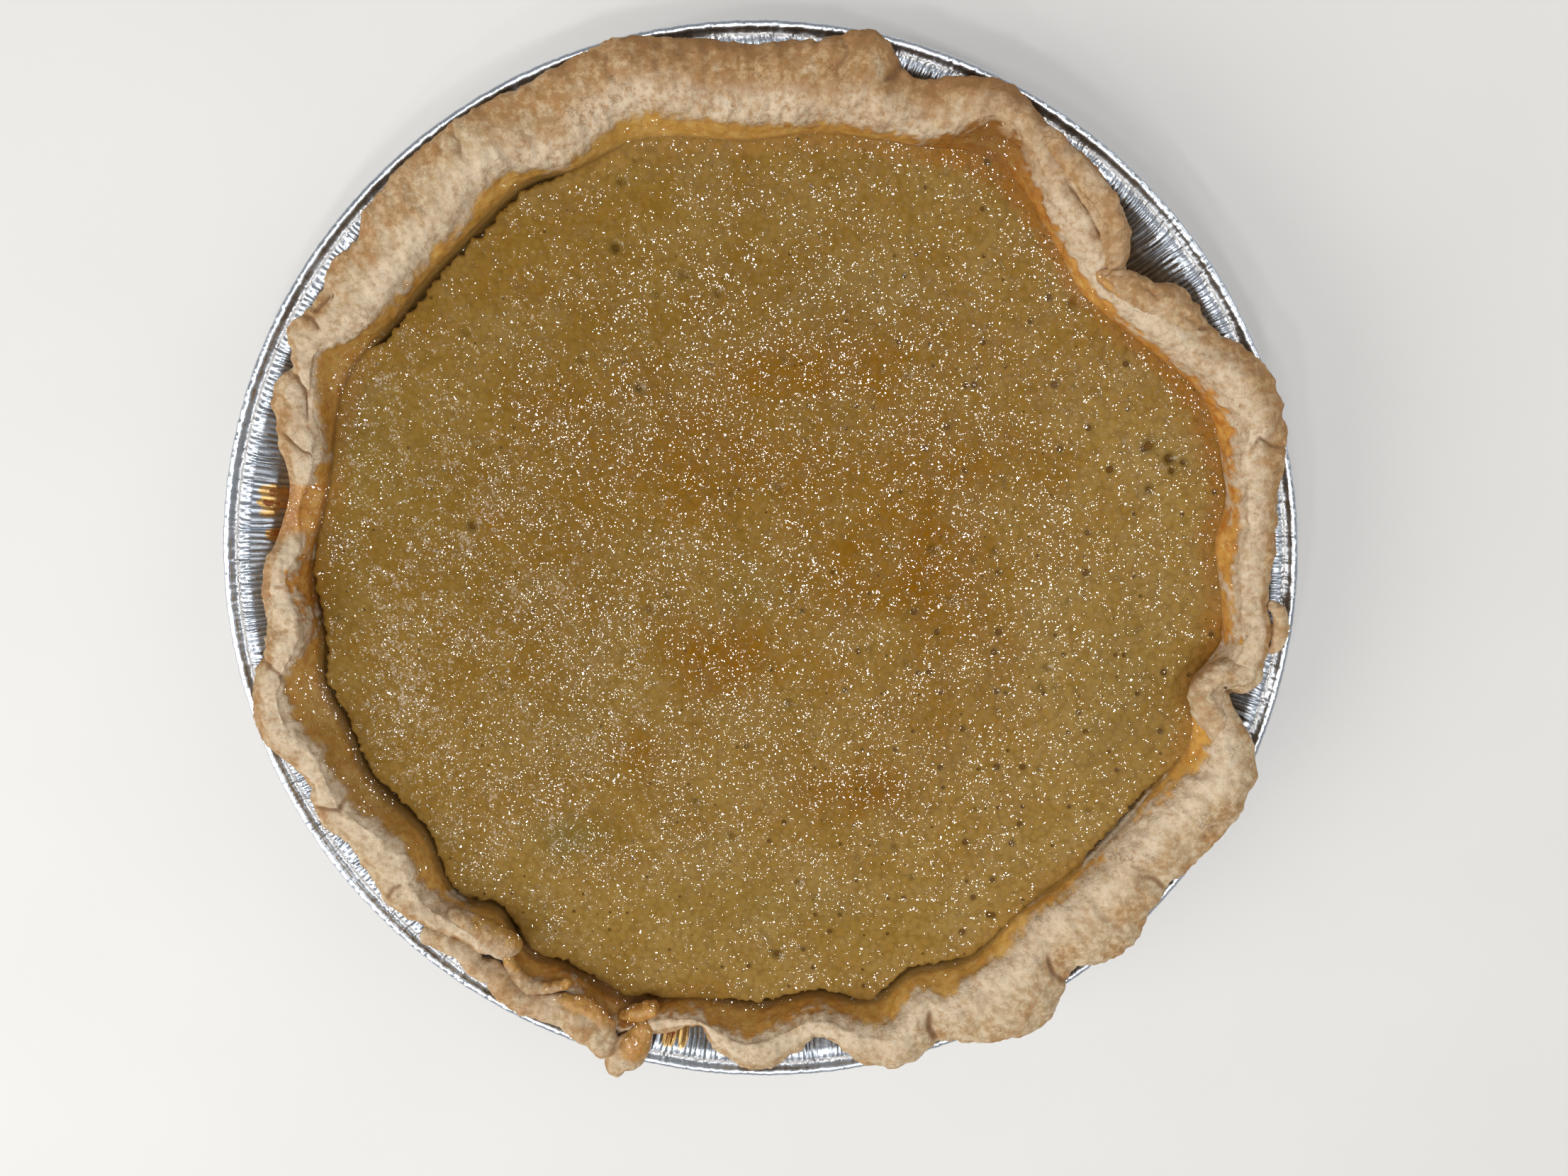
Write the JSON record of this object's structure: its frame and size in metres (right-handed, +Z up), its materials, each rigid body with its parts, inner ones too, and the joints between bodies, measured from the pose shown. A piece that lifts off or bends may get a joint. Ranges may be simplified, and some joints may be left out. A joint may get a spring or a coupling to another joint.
{
  "type": "sugar pie in a foil tin",
  "caption": "Round baked sugar pie with a hand-rolled, partly torn pastry edge and a glossy pitted filling, in its pleated foil pie tin.",
  "frame": {"origin": "centre of the tin's flat base, on the surface that the pie stands on", "axes": "+Z up out of the tin, +X to the right and +Y away as the pie is seen from above with its torn edge at the lower left"},
  "size_m": [0.228, 0.228, 0.0387],
  "materials": {
    "foil": "bright pleated aluminium foil",
    "pastry": "matt baked shortcrust pastry, pale tan with floury and golden patches",
    "sugar_filling": "glossy, bumpy baked brown sugar filling"
  },
  "bodies": {
    "root": {"tin": "foil", "crust": "pastry", "filling": "sugar_filling"}
  },
  "joints": []
}
